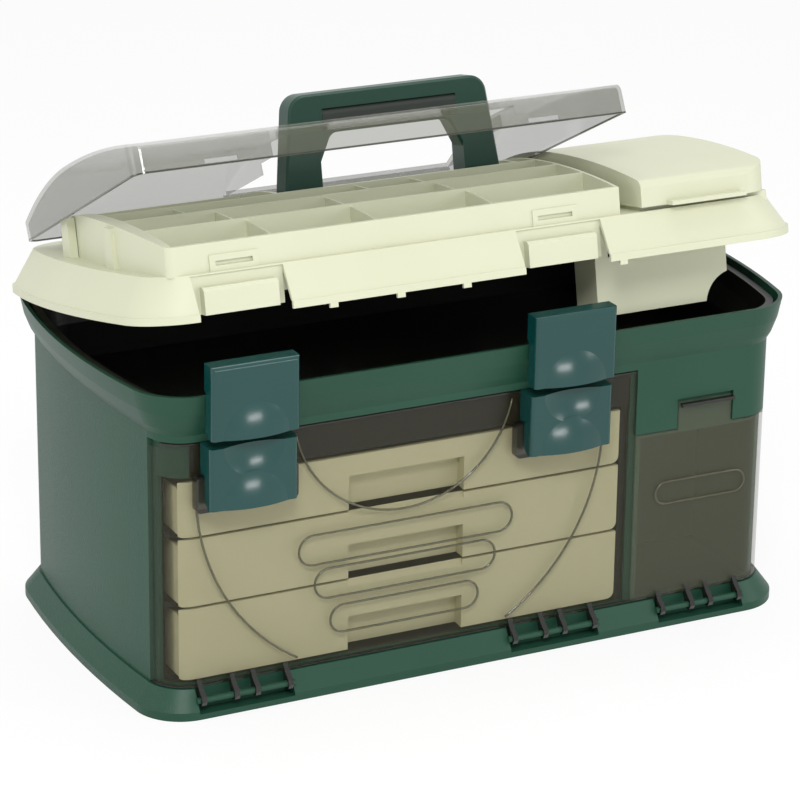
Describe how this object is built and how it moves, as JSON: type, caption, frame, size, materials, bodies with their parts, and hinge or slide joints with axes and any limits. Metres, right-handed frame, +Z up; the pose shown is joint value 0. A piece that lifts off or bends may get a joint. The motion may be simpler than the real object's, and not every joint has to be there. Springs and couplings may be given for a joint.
{
  "type": "fishing tackle cabinet",
  "caption": "Moulded tackle cabinet: smoked drop-down door over three drawers, side bin, bulk tub, hinged compartment lid with clear cover, sub-lid and folding handle.",
  "frame": {"origin": "centre of the underside of the base, where the cabinet stands", "axes": "+X along the length to the side-bin end, -Y to the drawers' front, +Z up"},
  "size_m": [0.5748, 0.3265, 0.4267],
  "materials": {
    "green_shell": "moulded with a fine grain on the walls",
    "teal_latch": "smooth, semi-gloss",
    "cream_lid": "satin moulded",
    "black_liner": "satin moulded",
    "beige_drawer": "satin moulded",
    "smoked_clear": "clear smoked plastic, glossy",
    "grip_rubber": "soft dull grip",
    "pin_steel": "plain bar"
  },
  "bodies": {
    "base": {"base_shell": "green_shell", "inner_frame": "black_liner", "bulk_tub": "black_liner", "upper_latch_pins": "pin_steel", "lid_hinge_pins": "pin_steel"},
    "lid": {"lid_tray": "cream_lid", "tray_dividers": "cream_lid", "bait_rack": "cream_lid", "handle_pins": "pin_steel", "cover_pins": "pin_steel", "sub_lid_pins": "pin_steel"},
    "clear_cover": {"clear_cover": "smoked_clear"},
    "sub_lid": {"sub_lid": "cream_lid"},
    "handle": {"handle": "green_shell", "handle_grip": "grip_rubber"},
    "large_door": {"large_door": "smoked_clear", "lower_latch_pins": "pin_steel"},
    "small_door": {"small_door": "smoked_clear"},
    "drawer_top": {"drawer_top": "beige_drawer"},
    "drawer_middle": {"drawer_middle": "beige_drawer"},
    "drawer_bottom": {"drawer_bottom": "beige_drawer"},
    "upper_latch_left": {"upper_latch_left": "teal_latch"},
    "upper_latch_right": {"upper_latch_right": "teal_latch"},
    "lower_latch_left": {"lower_latch_left": "teal_latch"},
    "lower_latch_right": {"lower_latch_right": "teal_latch"}
  },
  "joints": [
    {"name": "lid_hinge", "type": "hinge", "parent": "base", "child": "lid", "pos_m": [0, 0.156, 0.25], "axis": [-1, 0, 0], "range_deg": [-11.3, 75]},
    {"name": "clear_cover_hinge", "type": "hinge", "parent": "lid", "child": "clear_cover", "pos_m": [0, 0.1356, 0.29079], "axis": [-1, 0, 0], "range_deg": [-16, 85]},
    {"name": "sub_lid_hinge", "type": "hinge", "parent": "lid", "child": "sub_lid", "pos_m": [0, 0.12697, 0.29353], "axis": [-1, 0, 0], "range_deg": [0, 100]},
    {"name": "handle_fold", "type": "hinge", "parent": "lid", "child": "handle", "pos_m": [0, 0.02184, 0.32372], "axis": [-1, 0, 0], "range_deg": [0, 90]},
    {"name": "large_door_hinge", "type": "hinge", "parent": "base", "child": "large_door", "pos_m": [0, -0.145, 0.014], "axis": [1, 0, 0], "range_deg": [0, 80]},
    {"name": "small_door_hinge", "type": "hinge", "parent": "base", "child": "small_door", "pos_m": [0.1925, -0.145, 0.014], "axis": [1, 0, 0], "range_deg": [0, 85]},
    {"name": "drawer_top_slide", "type": "slide", "parent": "base", "child": "drawer_top", "axis": [0, -1, 0], "range_m": [0, 0.1606]},
    {"name": "drawer_middle_slide", "type": "slide", "parent": "base", "child": "drawer_middle", "axis": [0, -1, 0], "range_m": [0, 0.0922]},
    {"name": "drawer_bottom_slide", "type": "slide", "parent": "base", "child": "drawer_bottom", "axis": [0, -1, 0], "range_m": [0, 0.0154]},
    {"name": "upper_latch_left_hinge", "type": "hinge", "parent": "base", "child": "upper_latch_left", "pos_m": [-0.196, -0.1535, 0.2305], "axis": [1, 0, 0], "range_deg": [0, 90]},
    {"name": "lower_latch_left_hinge", "type": "hinge", "parent": "large_door", "child": "lower_latch_left", "pos_m": [-0.196, -0.15, 0.1735], "axis": [1, 0, 0], "range_deg": [0, 50]},
    {"name": "upper_latch_right_hinge", "type": "hinge", "parent": "base", "child": "upper_latch_right", "pos_m": [0.065, -0.1535, 0.2305], "axis": [1, 0, 0], "range_deg": [0, 90]},
    {"name": "lower_latch_right_hinge", "type": "hinge", "parent": "large_door", "child": "lower_latch_right", "pos_m": [0.065, -0.15, 0.1735], "axis": [1, 0, 0], "range_deg": [0, 50]}
  ],
  "couplings": [
    {"joint": "drawer_top_slide", "follows": "large_door_hinge", "m_per_rad": 0.115},
    {"joint": "drawer_middle_slide", "follows": "large_door_hinge", "m_per_rad": 0.066},
    {"joint": "drawer_bottom_slide", "follows": "large_door_hinge", "m_per_rad": 0.011}
  ]
}
